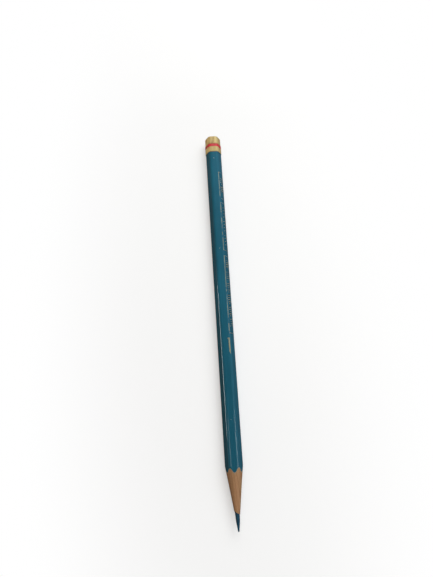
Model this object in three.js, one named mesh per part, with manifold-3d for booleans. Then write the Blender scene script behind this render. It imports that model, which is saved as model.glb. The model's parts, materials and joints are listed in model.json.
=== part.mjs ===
// Hexagonal wood-cased drawing pencil with a coloured core and a metal end cap.
//
// Millimetres, +Z up. The pencil lies on one flat facet along the Y axis, its sharpened
// point towards -Y and its capped end towards +Y. The origin is under the middle of its
// length, on the surface that it lies on.

import * as THREE from 'three';
import { mergeVertices } from 'three/addons/utils/BufferGeometryUtils.js';
import Module from 'manifold-3d';

const wasm = await Module();
wasm.setup();

// ---- driving dimensions -------------------------------------------------------------

const LENGTH = 174.2;               // point to capped end
const ACROSS_FLATS = 6.8;           // over the lacquer
const CORNER_RADIUS = 1.75;         // over the lacquer
const CORE_RADIUS = 1.0;
const CONE_LENGTH = 22.4;           // point to the middle of each scallop of lacquer
const BLUNT_RADIUS = 0.33;          // rounding of the worn point
const WORN_MIDDLE = { radius: 0.72, along: 3.6 };
const WORN_NECK = { radius: 0.88, along: 6.2 };

const LACQUER_THICKNESS = 0.08;
const UNDERCOAT_THICKNESS = 0.03;
const COAT_GAP = 0.015;             // clearance kept between one coat and the next
const COAT_TAIL = 0.3;              // how far the coats stop short of the cap's step
const COAT_PRESSED = 0.01;          // lacquer squeezed down by the cap
const GLUE_FILM = 0.03;
const GROOVE_CLEARANCE = 0.03;      // core to groove wall

const CAP_LENGTH = 8.7;
const CAP_WALL = 0.135;
const CAP_CROWN = 4.4;              // narrow part of the cap, down to the red ring
const CAP_EDGE_ROUND = 0.75;
const CAP_CLEARANCE = 0.02;         // cap to wood, and cap to lacquer
const BEAD_WIDTH = 0.3;             // rolled bead above the ring
const BEAD_INSET = 0.03;            // bead height kept below the skirt's
const RING_WIDTH = 1.5;
const RING_THICKNESS = 0.07;
const RING_PROUD = 0.01;            // ring over the skirt
const RING_GAP = 0.01;              // ring to its seat

const STAKE_RADIUS = 0.28;          // pricked dimples that hold the cap
const STAKE_DEPTH = 0.09;
const STAKE_OFFSET = 1.3;           // from the middle of its facet
const STAKED_FACETS = [Math.PI / 2, (Math.PI * 7) / 6, (Math.PI * 11) / 6];

const FOIL_THICKNESS = 0.025;
const FOIL_GAP = 0.01;              // foil to lacquer
const FOIL_FACET = Math.PI / 6;     // the upper right facet faces this far above +X
const FOIL_UPPER = 2.0;             // frame edges from the middle of that facet
const FOIL_LOWER = 1.2;
const FOIL_LINE = 0.24;
const FOIL_BOLD_LINE = 0.32;        // upper line of each frame
const FOIL_PANELS = [               // distances from the capped end, and cross bars
  { name: 'foil_panel_short', from: 19.7, to: 33.5, bars: 3 },
  { name: 'foil_panel_middle', from: 35.5, to: 59.3, bars: 5 },
  { name: 'foil_panel_long', from: 61.8, to: 97.0, bars: 7 },
];
const FOIL_MARK = { from: 98.9, to: 106.1, width: 1.1, point: 1.5, facing: 1.15 };

const CORNER_SEGMENTS = 4;
const EDGE_SEGMENTS = 3;
const CONE_SEGMENTS = 72;
const CORE_SEGMENTS = 36;

// ---- derived sizes ------------------------------------------------------------------

const APOTHEM = ACROSS_FLATS / 2;
const TIP_Y = -LENGTH / 2;
const BUTT_Y = LENGTH / 2;
const CONE_SLOPE = APOTHEM / CONE_LENGTH;

const UNDERCOAT_APOTHEM = APOTHEM - LACQUER_THICKNESS - COAT_GAP;
const WOOD_APOTHEM = UNDERCOAT_APOTHEM - UNDERCOAT_THICKNESS - COAT_GAP;
const WOOD_CORNER = CORNER_RADIUS - (APOTHEM - WOOD_APOTHEM);
const WOOD_END_Y = BUTT_Y - CAP_WALL - CAP_CLEARANCE;

const SKIRT_APOTHEM = APOTHEM + CAP_CLEARANCE + CAP_WALL;
const CROWN_APOTHEM = WOOD_APOTHEM + CAP_CLEARANCE + CAP_WALL;
const RING_TOP_Y = BUTT_Y - CAP_CROWN;
const RING_LOW_Y = RING_TOP_Y - RING_WIDTH;
const SKIRT_LOW_Y = BUTT_Y - CAP_LENGTH;
const COAT_END_Y = RING_TOP_Y - COAT_TAIL;

const RING_SEAT_APOTHEM = SKIRT_APOTHEM - RING_THICKNESS + RING_PROUD;
const RING_APOTHEM = SKIRT_APOTHEM + RING_PROUD;
const AXIS_Z = RING_APOTHEM;        // the pencil touches the table at the ring
const CLEAR = 5;                    // how far a cutting shape runs past what it cuts

// ---- helpers ------------------------------------------------------------------------

const cornerFor = (apothem) => CORNER_RADIUS + apothem - APOTHEM;

function hexOutline(target, apothem, cornerRadius) {
  const centreDistance = (apothem - cornerRadius) / Math.cos(Math.PI / 6);
  for (let corner = 0; corner < 6; corner++) {
    const angle = (corner * Math.PI) / 3;
    const x = centreDistance * Math.cos(angle);
    const y = centreDistance * Math.sin(angle);
    target.absarc(x, y, cornerRadius, angle - Math.PI / 6, angle + Math.PI / 6, false);
  }
  target.closePath();
  return target;
}

// A hexagonal bar along Y; edgeRound rounds the rim of both ends.
function hexBar(apothem, startY, endY, edgeRound = 0) {
  const outline = hexOutline(new THREE.Shape(), apothem, cornerFor(apothem));
  const bar = new THREE.ExtrudeGeometry(outline, {
    depth: endY - startY - 2 * edgeRound,
    curveSegments: CORNER_SEGMENTS,
    bevelEnabled: edgeRound > 0,
    bevelThickness: edgeRound,
    bevelSize: edgeRound,
    bevelOffset: -edgeRound,
    bevelSegments: EDGE_SEGMENTS,
  });
  bar.rotateX(Math.PI / 2);
  bar.translate(0, endY - edgeRound, AXIS_Z);
  return solid(bar);
}

// A hexagonal tube along Y between two apothems.
function hexSleeve(innerApothem, outerApothem, startY, endY) {
  const outline = hexOutline(new THREE.Shape(), outerApothem, cornerFor(outerApothem));
  outline.holes.push(hexOutline(new THREE.Path(), innerApothem, cornerFor(innerApothem)));
  const sleeve = new THREE.ExtrudeGeometry(outline, {
    depth: endY - startY,
    curveSegments: CORNER_SEGMENTS,
    bevelEnabled: false,
  });
  sleeve.rotateX(Math.PI / 2);
  sleeve.translate(0, endY, AXIS_Z);
  return solid(sleeve);
}

// A solid turned about the pencil's axis from [radius, y] points.
function turned(profile, segments) {
  const points = profile.map(([radius, y]) => new THREE.Vector2(radius, y));
  const lathe = new THREE.LatheGeometry(points, segments);
  lathe.translate(0, 0, AXIS_Z);
  return solid(lathe);
}

function block(width, depth, height, x, y, z) {
  const box = new THREE.BoxGeometry(width, depth, height);
  box.translate(x, y, z);
  return solid(box);
}

// Geometry to a solid for cutting: shared vertices merged, empty triangles dropped.
function solid(geometry) {
  const bare = geometry.clone();
  bare.deleteAttribute('normal');
  bare.deleteAttribute('uv');
  const merged = mergeVertices(bare, 1e-5);
  const index = merged.index.array;
  const triangles = [];
  for (let i = 0; i < index.length; i += 3) {
    const [a, b, c] = [index[i], index[i + 1], index[i + 2]];
    if (a !== b && b !== c && c !== a) {
      triangles.push(a, b, c);
    }
  }
  const mesh = new wasm.Mesh({
    numProp: 3,
    vertProperties: new Float32Array(merged.attributes.position.array),
    triVerts: new Uint32Array(triangles),
  });
  return new wasm.Manifold(mesh);
}

function geometryOf(manifold) {
  const result = manifold.getMesh();
  const geometry = new THREE.BufferGeometry();
  geometry.setAttribute('position', new THREE.BufferAttribute(result.vertProperties, 3));
  geometry.setIndex(new THREE.BufferAttribute(result.triVerts, 1));
  geometry.computeVertexNormals();
  return geometry;
}

// ---- sharpening and wood ------------------------------------------------------------

// All that the sharpener leaves standing: a cone at the point, then more room than the bar.
function sharpenedRoom() {
  const reach = ACROSS_FLATS;
  return turned([
    [0, TIP_Y],
    [reach, TIP_Y + reach / CONE_SLOPE],
    [reach, BUTT_Y + CLEAR],
    [0, BUTT_Y + CLEAR],
  ], CONE_SEGMENTS);
}

const sharpened = sharpenedRoom();

function woodBar() {
  const edgeRound = CAP_EDGE_ROUND - CAP_WALL;
  return hexBar(WOOD_APOTHEM, TIP_Y, WOOD_END_Y, edgeRound).intersect(sharpened);
}

const wood = woodBar();

function slat(side) {
  const grooveRadius = CORE_RADIUS + GROOVE_CLEARANCE;
  const groove = turned([
    [0, TIP_Y - CLEAR],
    [grooveRadius, TIP_Y - CLEAR],
    [grooveRadius, BUTT_Y + CLEAR],
    [0, BUTT_Y + CLEAR],
  ], CORE_SEGMENTS);
  const offset = side * (CLEAR / 2 + GLUE_FILM);
  const half = block(2 * CLEAR, LENGTH + CLEAR, CLEAR, 0, 0, AXIS_Z + offset);
  return wood.intersect(half).subtract(groove);
}

function glueFilm(side) {
  const middle = side * (CORE_RADIUS + 2 * GROOVE_CLEARANCE + CLEAR / 2);
  return wood.intersect(block(CLEAR, LENGTH + CLEAR, GLUE_FILM, middle, 0, AXIS_Z));
}

// The core runs the whole length; its exposed end is a blunted, slightly full cone.
function core() {
  const profile = [[0, TIP_Y]];
  for (let step = 1; step <= 3; step++) {
    const angle = (step * Math.PI) / 7;
    const y = TIP_Y + BLUNT_RADIUS * (1 - Math.cos(angle));
    profile.push([BLUNT_RADIUS * Math.sin(angle), y]);
  }
  profile.push([WORN_MIDDLE.radius, TIP_Y + WORN_MIDDLE.along]);
  profile.push([WORN_NECK.radius, TIP_Y + WORN_NECK.along]);
  profile.push([CORE_RADIUS, TIP_Y + CORE_RADIUS / CONE_SLOPE]);
  profile.push([CORE_RADIUS, WOOD_END_Y]);
  profile.push([0, WOOD_END_Y]);
  return turned(profile, CORE_SEGMENTS);
}

// ---- coats --------------------------------------------------------------------------

// The lacquer is squeezed a little where the cap grips it, so each facet stops at the cap.
function coat(innerApothem, outerApothem, pressed = 0) {
  const startY = TIP_Y + CONE_LENGTH - CLEAR;
  const freeEndY = SKIRT_LOW_Y - 2 * CAP_CLEARANCE;
  const free = hexSleeve(innerApothem, outerApothem, startY, freeEndY);
  const gripped = hexSleeve(innerApothem, outerApothem - pressed, freeEndY, COAT_END_Y);
  return free.add(gripped).intersect(sharpened);
}

// ---- end cap ------------------------------------------------------------------------

// Pricked dimples sit half way down the skirt, off the middle of every other facet.
function stake(facetAngle) {
  const cone = new THREE.ConeGeometry(STAKE_RADIUS * 2, STAKE_DEPTH * 2, 10);
  cone.rotateZ(Math.PI / 2);
  cone.translate(SKIRT_APOTHEM, 0, -STAKE_OFFSET);
  cone.rotateY(-facetAngle);
  cone.translate(0, (SKIRT_LOW_Y + RING_LOW_Y) / 2, AXIS_Z);
  return solid(cone);
}

// A drawn cup: a narrow crown over the bare wood, a bead, a seat for the ring, and a wider
// skirt over the lacquer.
function endCap() {
  const innerRound = CAP_EDGE_ROUND - CAP_WALL;
  const crown = hexBar(CROWN_APOTHEM, RING_LOW_Y, BUTT_Y, CAP_EDGE_ROUND);
  const bead = hexBar(SKIRT_APOTHEM - BEAD_INSET, RING_TOP_Y, RING_TOP_Y + BEAD_WIDTH);
  const seat = hexBar(RING_SEAT_APOTHEM, RING_LOW_Y, RING_TOP_Y);
  const skirt = hexBar(SKIRT_APOTHEM, SKIRT_LOW_Y, RING_LOW_Y);
  const woodRoom = hexBar(WOOD_APOTHEM + CAP_CLEARANCE, SKIRT_LOW_Y - CLEAR,
    BUTT_Y - CAP_WALL, innerRound);
  const coatRoom = hexBar(APOTHEM + CAP_CLEARANCE, SKIRT_LOW_Y - CLEAR,
    COAT_END_Y + CAP_CLEARANCE);
  let shell = crown.add(bead).add(seat).add(skirt).subtract(woodRoom).subtract(coatRoom);
  for (const facetAngle of STAKED_FACETS) {
    shell = shell.subtract(stake(facetAngle));
  }
  return shell;
}

function redRing() {
  const inner = RING_SEAT_APOTHEM + RING_GAP;
  return hexSleeve(inner, RING_APOTHEM, RING_LOW_Y + RING_GAP, RING_TOP_Y - RING_GAP);
}

// ---- foil imprint -------------------------------------------------------------------

// A flat outline, x from the capped end and y down across the body, raised through the
// side of the pencil that faces the given angle above +X.
function stamp(outline, facing) {
  const along = new THREE.Vector3(0, -1, 0);
  const normal = new THREE.Vector3(Math.cos(facing), 0, Math.sin(facing));
  const across = new THREE.Vector3().crossVectors(normal, along);
  const raised = new THREE.ExtrudeGeometry(outline, { depth: CLEAR, bevelEnabled: false });
  raised.translate(0, 0, APOTHEM / 2);
  raised.applyMatrix4(new THREE.Matrix4().makeBasis(along, across, normal));
  raised.translate(0, BUTT_Y, AXIS_Z);
  return solid(raised);
}

function stampedRectangle(x0, x1, y0, y1) {
  const outline = new THREE.Shape();
  outline.moveTo(x0, y0);
  outline.lineTo(x1, y0);
  outline.lineTo(x1, y1);
  outline.lineTo(x0, y1);
  return stamp(outline, FOIL_FACET);
}

// The foil follows the facet and the rounded corners beside it.
function pressedFoil(stamped) {
  const low = APOTHEM + FOIL_GAP;
  const film = hexSleeve(low, low + FOIL_THICKNESS, TIP_Y + CONE_LENGTH, SKIRT_LOW_Y);
  return film.intersect(stamped);
}

// A frame line with a few cross bars, which keep the panel one piece.
function foilPanel({ from, to, bars }) {
  let panel = stampedRectangle(from, to, -FOIL_UPPER, FOIL_LOWER);
  const pitch = (to - from - FOIL_LINE) / (bars + 1);
  for (let window = 0; window <= bars; window++) {
    const start = from + FOIL_LINE + window * pitch;
    const end = start + pitch - FOIL_LINE;
    const top = FOIL_BOLD_LINE - FOIL_UPPER;
    panel = panel.subtract(stampedRectangle(start, end, top, FOIL_LOWER - FOIL_LINE));
  }
  return pressedFoil(panel);
}

// A solid bar of foil on the rounded corner above the frames, with a slanted end.
function foilMark({ from, to, width, point, facing }) {
  const mark = new THREE.Shape();
  mark.moveTo(from, -width / 2);
  mark.lineTo(to - point, -width / 2);
  mark.lineTo(to, width / 2);
  mark.lineTo(from, width / 2);
  return pressedFoil(stamp(mark, facing));
}

// ---- assembly -----------------------------------------------------------------------

function material(color, roughness, metalness = 0) {
  return new THREE.MeshStandardMaterial({ color, roughness, metalness });
}

const cedar = () => material(0xa8805a, 0.75);
const glue = () => material(0xc9b68c, 0.5);
const foil = () => material(0xb9a679, 0.35, 1);

const group = new THREE.Group();

function place(name, shape, finish) {
  const mesh = new THREE.Mesh(geometryOf(shape), finish);
  mesh.name = name;
  group.add(mesh);
}

place('lead_core', core(), material(0x123c55, 0.6));
place('slat_upper', slat(1), cedar());
place('slat_lower', slat(-1), cedar());
place('glue_film_right', glueFilm(1), glue());
place('glue_film_left', glueFilm(-1), glue());
place('undercoat', coat(WOOD_APOTHEM + COAT_GAP, UNDERCOAT_APOTHEM), material(0xe6e2d6, 0.6));
const lacquer = coat(UNDERCOAT_APOTHEM + COAT_GAP, APOTHEM, COAT_PRESSED);
place('lacquer_coat', lacquer, material(0x2b6074, 0.25));
place('end_cap', endCap(), material(0xbaa675, 0.4, 1));
place('red_ring', redRing(), material(0xc03d45, 0.4));
for (const panel of FOIL_PANELS) {
  place(panel.name, foilPanel(panel), foil());
}
place('foil_mark', foilMark(FOIL_MARK), foil());

export default group;
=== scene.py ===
# %% [markdown]
# # A hexagonal drawing pencil with a coloured core
#
# This notebook dresses a measured CAD model of one wooden pencil. The model is already the
# right size, so every new piece is made in place around it. A wood-cased pencil is a sandwich:
# two grooved cedar slats are glued round a thin core, milled to a hexagon, primed, lacquered,
# capped with a drawn metal cup and stamped with foil. We make those pieces in that order.

import json
import math
import random

import bmesh
import bpy
from mathutils import Matrix, Vector

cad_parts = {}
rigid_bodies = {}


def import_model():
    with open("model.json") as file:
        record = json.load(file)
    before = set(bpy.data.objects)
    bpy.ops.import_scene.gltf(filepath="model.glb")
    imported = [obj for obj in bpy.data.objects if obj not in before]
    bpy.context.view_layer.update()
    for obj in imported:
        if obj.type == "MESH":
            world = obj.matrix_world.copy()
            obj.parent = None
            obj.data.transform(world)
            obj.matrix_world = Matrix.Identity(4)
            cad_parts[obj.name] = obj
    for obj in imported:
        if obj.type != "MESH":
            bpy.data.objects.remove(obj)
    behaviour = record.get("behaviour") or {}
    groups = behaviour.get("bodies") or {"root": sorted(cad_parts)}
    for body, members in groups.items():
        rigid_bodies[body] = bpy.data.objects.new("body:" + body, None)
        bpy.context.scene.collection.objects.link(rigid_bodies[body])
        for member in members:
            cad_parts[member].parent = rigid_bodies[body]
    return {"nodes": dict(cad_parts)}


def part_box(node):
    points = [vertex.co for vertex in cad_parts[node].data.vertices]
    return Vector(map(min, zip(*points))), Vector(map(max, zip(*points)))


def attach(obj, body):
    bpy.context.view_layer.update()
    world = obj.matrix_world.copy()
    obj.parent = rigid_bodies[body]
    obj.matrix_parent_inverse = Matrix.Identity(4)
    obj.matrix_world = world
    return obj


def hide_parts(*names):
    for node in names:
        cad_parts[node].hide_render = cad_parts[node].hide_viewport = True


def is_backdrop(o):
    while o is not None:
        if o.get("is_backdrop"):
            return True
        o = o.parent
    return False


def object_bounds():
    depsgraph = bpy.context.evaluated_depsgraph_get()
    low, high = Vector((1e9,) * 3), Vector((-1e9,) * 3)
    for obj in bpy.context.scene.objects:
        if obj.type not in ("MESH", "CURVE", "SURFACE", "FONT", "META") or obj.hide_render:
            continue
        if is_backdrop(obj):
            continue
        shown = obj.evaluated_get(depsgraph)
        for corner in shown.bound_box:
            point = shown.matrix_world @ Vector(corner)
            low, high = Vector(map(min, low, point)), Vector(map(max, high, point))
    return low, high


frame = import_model()
cad_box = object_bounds()
print("measured nodes:", ", ".join(sorted(frame["nodes"])))

# %% [markdown]
# ## Sizes
#
# Blender works in metres and a pencil maker in millimetres, so one constant turns one into
# the other. The pencil lies on a flat facet along Y, with its point towards -Y. The
# sharpener's slope follows from where the lacquer starts.

# %% Read the sizes from the measured nodes
MM = 0.001
HALF_CORNER = math.pi / 6

lacquer_low, lacquer_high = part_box("lacquer_coat")
cap_low, cap_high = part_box("end_cap")
ring_low, ring_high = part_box("red_ring")
TIP_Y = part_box("lead_core")[0].y
WOOD_END_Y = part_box("slat_upper")[1].y
BUTT_Y = cap_high.y

APOTHEM = (lacquer_high.z - lacquer_low.z) / 2
AXIS_Z = (lacquer_high.z + lacquer_low.z) / 2
AXIS = Vector((0, 0, AXIS_Z))
CORNER_RADIUS = 1.75 * MM
COAT_END_Y = lacquer_high.y
SCALLOP_DEPTH = 0.08 * MM
CONE_SLOPE = (APOTHEM - SCALLOP_DEPTH) / (lacquer_low.y - TIP_Y)

print("length", round((BUTT_Y - TIP_Y) / MM, 2), "mm")
print("across the flats", round(2 * APOTHEM / MM, 2), "mm")
print("sharpener slope", round(CONE_SLOPE, 4), "and axis height", round(AXIS_Z / MM, 3), "mm")

# %% [markdown]
# ## Small helpers
#
# Blender's operators act on whatever is selected in whatever object is open. These helpers
# open one piece, pick parts of it by where they are, and close it again, so that each later
# cell reads like a list of moves made by hand.

# %% Open, pick and close
def choose(piece):
    """Select one piece and nothing else."""
    bpy.ops.object.select_all(action="DESELECT")
    piece.select_set(True)
    bpy.context.view_layer.objects.active = piece


def settle():
    """Apply the chosen piece's place, turn and scale to its mesh."""
    bpy.ops.object.transform_apply(location=True, rotation=True, scale=True)


def start_piece(name, primitive, **settings):
    """Add one primitive at its size and place, with nothing else selected."""
    bpy.ops.object.select_all(action="DESELECT")
    primitive(**settings)
    piece = bpy.context.object
    piece.name = name
    settle()
    return piece


def open_piece(piece):
    """Put one piece in edit mode, with nothing else selected."""
    if bpy.context.mode != "OBJECT":
        bpy.ops.object.mode_set(mode="OBJECT")
    choose(piece)
    bpy.ops.object.mode_set(mode="EDIT")
    bpy.ops.mesh.select_mode(type="VERT")


def close_piece():
    bpy.ops.object.mode_set(mode="OBJECT")


def middle(part):
    """The middle of a vertex, an edge or a face."""
    if isinstance(part, bmesh.types.BMVert):
        return part.co
    return sum((corner.co for corner in part.verts), Vector()) / len(part.verts)


def pick(kind, wanted):
    """Select the verts, edges or faces of the open piece for which wanted(part) is true."""
    bpy.ops.mesh.select_mode(type={"verts": "VERT", "edges": "EDGE", "faces": "FACE"}[kind])
    bpy.ops.mesh.select_all(action="DESELECT")
    shape = bmesh.from_edit_mesh(bpy.context.object.data)
    chosen = [part for part in getattr(shape, kind) if wanted(part)]
    for part in chosen:
        part.select_set(True)
    shape.select_flush_mode()
    bmesh.update_edit_mesh(bpy.context.object.data)
    return len(chosen)


def pick_all():
    bpy.ops.mesh.select_all(action="SELECT")


def extrude(move):
    bpy.ops.mesh.extrude_region_move(TRANSFORM_OT_translate={"value": move})


def face_outwards():
    """Merge doubled points, then turn every face outwards."""
    pick_all()
    bpy.ops.mesh.remove_doubles(threshold=0.001 * MM)
    bpy.ops.mesh.normals_make_consistent(inside=False)


# %% Modify, cut, slice and copy
def modify(piece, kind, **settings):
    """Add one modifier to a piece and apply it."""
    choose(piece)
    bpy.ops.object.modifier_add(type=kind)
    modifier = piece.modifiers[-1]
    for name, value in settings.items():
        setattr(modifier, name, value)
    bpy.ops.object.modifier_apply(modifier=modifier.name)


def cut(piece, operation, tool, keep_tool=False):
    """Take the tool away from a piece, or keep only what the two share."""
    modify(piece, "BOOLEAN", operation=operation, solver="EXACT", object=tool)
    if not keep_tool:
        bpy.data.objects.remove(tool)


def keep_side(place, direction):
    """Slice the whole open piece with a plane and keep what lies on the direction's side."""
    pick_all()
    bpy.ops.mesh.bisect(
        plane_co=place,
        plane_no=direction,
        use_fill=True,
        clear_inner=True,
        threshold=0.0001 * MM,
    )


def copy_of(piece, name):
    """A copy with its own mesh."""
    choose(piece)
    bpy.ops.object.duplicate(linked=False)
    bpy.context.object.name = name
    return bpy.context.object


# %% Smooth a piece and hand it over
def smooth(piece, angle):
    """Shade a closed piece smooth, except over edges sharper than the angle in degrees."""
    choose(piece)
    bpy.ops.object.shade_smooth_by_angle(angle=math.radians(angle), keep_sharp_edges=True)


def hand_over(piece, node):
    """Let a finished piece stand for its measured node."""
    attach(piece, "root")
    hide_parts(node)
    shape = bmesh.new()
    shape.from_mesh(piece.data)
    open_edges = sum(1 for edge in shape.edges if len(edge.link_faces) != 2)
    shape.free()
    size = [round(side / MM, 2) for side in piece.dimensions]
    print(piece.name, "stands for", node, size, "mm")
    print("  ", len(piece.data.polygons), "faces,", open_edges, "open edges")


# %% [markdown]
# ## Two ways to start a piece
#
# Nearly everything on a pencil is either a hexagon pulled along its axis or a profile turned
# about it. For the hexagon we add a six-sided circle, round its corners with a vertex bevel
# and cut its flats into short steps. For the turned shape we draw a line of points and spin
# it. The Screw modifier could turn it too, but the spin needs no modifier to apply.

# %% A rounded hexagon, and a way to carry it along
# With this profile, and this share of the radius as its offset, the bevel draws a true arc.
ARC_PROFILE = 0.536
ARC_OFFSET = 1 / math.sqrt(3)


def hexagon(name, apothem, y, corner_steps=12, flat_steps=12):
    """Start a piece as a flat hexagon across the axis, with a corner on each side."""
    corner_radius = CORNER_RADIUS + apothem - APOTHEM
    piece = start_piece(
        name,
        bpy.ops.mesh.primitive_circle_add,
        vertices=6,
        radius=apothem / math.cos(HALF_CORNER),
        fill_type="NGON",
        location=(0, y, AXIS_Z),
        rotation=(math.pi / 2, HALF_CORNER, 0),
    )
    open_piece(piece)
    pick_all()
    bpy.ops.mesh.bevel(
        offset=corner_radius * ARC_OFFSET,
        segments=corner_steps,
        profile=ARC_PROFILE,
        affect="VERTICES",
    )
    if flat_steps > 1:
        pick("edges", lambda edge: edge.calc_length() > MM)
        bpy.ops.mesh.subdivide(number_cuts=flat_steps - 1)
    pick_all()
    return piece


def carry(stations, y, apothem):
    """Extrude the selected outline through (y, apothem) stations, scaling it about the axis."""
    for next_y, next_apothem in stations:
        extrude((0, next_y - y, 0))
        scale = next_apothem / apothem
        bpy.ops.transform.resize(value=(scale, 1, scale), center_override=(0, next_y, AXIS_Z))
        y, apothem = next_y, next_apothem


# %% A turned shape
def turned(name, profile, steps):
    """Spin (distance from the point, radius) stations, in mm, about the pencil's axis."""
    spots = [Vector((radius * MM, TIP_Y + along * MM, AXIS_Z)) for along, radius in profile]
    piece = start_piece(name, bpy.ops.mesh.primitive_plane_add, size=MM, location=spots[0])
    open_piece(piece)
    bpy.ops.mesh.merge(type="CENTER")
    for here, there in zip(spots, spots[1:]):
        extrude(there - here)
    pick_all()
    bpy.ops.mesh.spin(steps=steps, angle=math.tau, center=AXIS, axis=(0, 1, 0))
    face_outwards()
    close_piece()
    return piece


# %% [markdown]
# ## The sharpener
#
# A pencil sharpener leaves everything inside a long slim cone. The real cone is a touch full
# near the core, because a blade lifts as it leaves the wood. It is never quite central either:
# here the point comes out a fifth of a millimetre to the right. We turn what the blade leaves
# standing as one tool, lean it, and keep what the wood shares with it. The tool for the paint
# is the same, but shaken a little, so that the scallops get the ragged edge of chipped paint.

# %% Make the two sharpening tools
TIP_X = 0.2 * MM
CONE_LENGTH = 22.4 * MM
LEAN_PIVOT = Vector((0, TIP_Y + CONE_LENGTH, AXIS_Z))
SHOULDER = 44.8  # where the tools stop widening, mm from the point
PAST_THE_END = 183  # a little more than the pencil's length, mm


def straight(along):
    """A station on the straight cone, both in mm."""
    return along, along * CONE_SLOPE


def lean_tool(tool):
    """Lean a turned tool sideways about the place where the cone meets the paint."""
    turn = Matrix.Rotation(math.atan(TIP_X / (LEAN_PIVOT.y - TIP_Y)), 4, "Z")
    tool.matrix_world = Matrix.Translation(LEAN_PIVOT) @ turn @ Matrix.Translation(-LEAN_PIVOT)
    choose(tool)
    settle()
    return tool


FULL_CONE = [(0, 0), (3.0, 0.47), (5.6, 0.92), (6.4, 1.05), (7.5, 1.22), (8.6, 1.385)]
FULL_CONE += [(10.0, 1.58), (11.5, 1.79), (13.5, 2.075), (15.5, 2.37)]
BARREL = [straight(SHOULDER), (PAST_THE_END, 6.8), (PAST_THE_END, 0)]
wood_sharpener = lean_tool(turned("wood_sharpener", FULL_CONE + [straight(18)] + BARREL, 160))

# Close stations where the scallops fall, so that there are points to shake.
SCALLOPS = [straight(20 + step * 0.35) for step in range(18)]
RAGGED_FROM = 19.9 * MM
RAGGED_TO = 26.1 * MM
RAGGED = 0.011 * MM
paint_sharpener = turned("paint_sharpener", [(0, 0)] + SCALLOPS + BARREL, 160)
open_piece(paint_sharpener)
shaken = pick("verts", lambda spot: RAGGED_FROM < spot.co.y - TIP_Y < RAGGED_TO)
bpy.ops.transform.vertex_random(offset=RAGGED, uniform=0, normal=1, seed=4)
close_piece()
lean_tool(paint_sharpener)
print("paint sharpener:", shaken, "points shaken")

# %% [markdown]
# ## The cedar slats and the glue between them
#
# Two half-round grooves hold the core, and a glue line runs across the pencil where the slats
# meet. We mill one whole hexagonal bar, sharpen it, and only then split it, so that the four
# parts share one surface, as in the real pencil. Because the sharpened cone leans, the core
# comes out of the wood sooner on one side, so the edge between wood and core slants.

# %% Mill and sharpen one bar
LACQUER_THICK = 0.09 * MM
PRIMER_THICK = 0.04 * MM
COAT_GAP = 0.004 * MM
PRIMER_APOTHEM = APOTHEM - LACQUER_THICK - COAT_GAP
WOOD_APOTHEM = PRIMER_APOTHEM - PRIMER_THICK - COAT_GAP
CORE_RADIUS = 1.0 * MM
GROOVE_RADIUS = CORE_RADIUS + 0.015 * MM
WOOD_START_Y = TIP_Y + 3 * MM
END_ROUND = 0.6 * MM
FRONT_SLANT = 0.6
FRONT_Y = TIP_Y + 6.9 * MM

bar = hexagon("cedar_bar", WOOD_APOTHEM, WOOD_START_Y, corner_steps=8, flat_steps=1)
extrude((0, WOOD_END_Y - WOOD_START_Y, 0))
pick_all()
bpy.ops.mesh.normals_make_consistent(inside=False)
pick("faces", lambda face: face.normal.y > 0.9)
bpy.ops.mesh.bevel(offset=END_ROUND, segments=4, affect="EDGES")
close_piece()
cut(bar, "INTERSECT", wood_sharpener)

# %% Trim its front on a slant
open_piece(bar)
keep_side((0, FRONT_Y, AXIS_Z), (FRONT_SLANT, 1, 0))
close_piece()
print("bar:", len(bar.data.polygons), "faces")


# %% Split the bar into two slats and two glue films
def groove_rod(name, radius, start_y):
    """A round rod to the end of the wood: the groove's cutter, or the core itself."""
    return start_piece(
        name,
        bpy.ops.mesh.primitive_cylinder_add,
        vertices=96,
        radius=radius,
        depth=WOOD_END_Y - start_y,
        location=(0, (WOOD_END_Y + start_y) / 2, AXIS_Z),
        rotation=(math.pi / 2, 0, 0),
    )


GLUE_HALF = 0.015 * MM
CONE_SMOOTH = 6

slats = {}
for side, name in ((1, "cedar_slat_top"), (-1, "cedar_slat_bottom")):
    slat = copy_of(bar, name)
    open_piece(slat)
    keep_side((0, 0, AXIS_Z + side * GLUE_HALF), (0, 0, side))
    close_piece()
    cut(slat, "DIFFERENCE", groove_rod("groove", GROOVE_RADIUS, TIP_Y))
    slats[name] = slat

films = {}
for side, name in ((1, "glue_line_right"), (-1, "glue_line_left")):
    film = copy_of(bar, name)
    open_piece(film)
    keep_side((0, 0, AXIS_Z - GLUE_HALF), (0, 0, 1))
    keep_side((0, 0, AXIS_Z + GLUE_HALF), (0, 0, -1))
    keep_side((side * (GROOVE_RADIUS + 0.01 * MM), 0, AXIS_Z), (side, 0, 0))
    close_piece()
    films[name] = film
bpy.data.objects.remove(bar)

for piece in list(slats.values()) + list(films.values()):
    smooth(piece, CONE_SMOOTH)
hand_over(slats["cedar_slat_top"], "slat_upper")
hand_over(slats["cedar_slat_bottom"], "slat_lower")
hand_over(films["glue_line_right"], "glue_film_right")
hand_over(films["glue_line_left"], "glue_film_left")

# %% [markdown]
# ## The core
#
# The core is a stick of pigment and wax. In use it wears faster than the wood, so it is a
# little thinner than the cone round it, and its point is blunt. We turn that worn outline as
# a tool and keep what the round stick shares with it. A small slanted cut gives the flat that
# drawing rubs on the point.

# %% Make the worn core
WORN_POINT = [(0, 0), (0.02, 0.14), (0.08, 0.22), (0.2, 0.28), (0.5, 0.34), (1.5, 0.46)]
WORN_POINT += [(2.5, 0.6), (3.6, 0.76), (5.0, 0.87), (6.0, 0.91), (6.6, 0.97), (7.2, 1.075)]
WORN_POINT += [(8.2, 1.27), (9.5, 1.6), (PAST_THE_END, 1.6), (PAST_THE_END, 0)]

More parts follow.
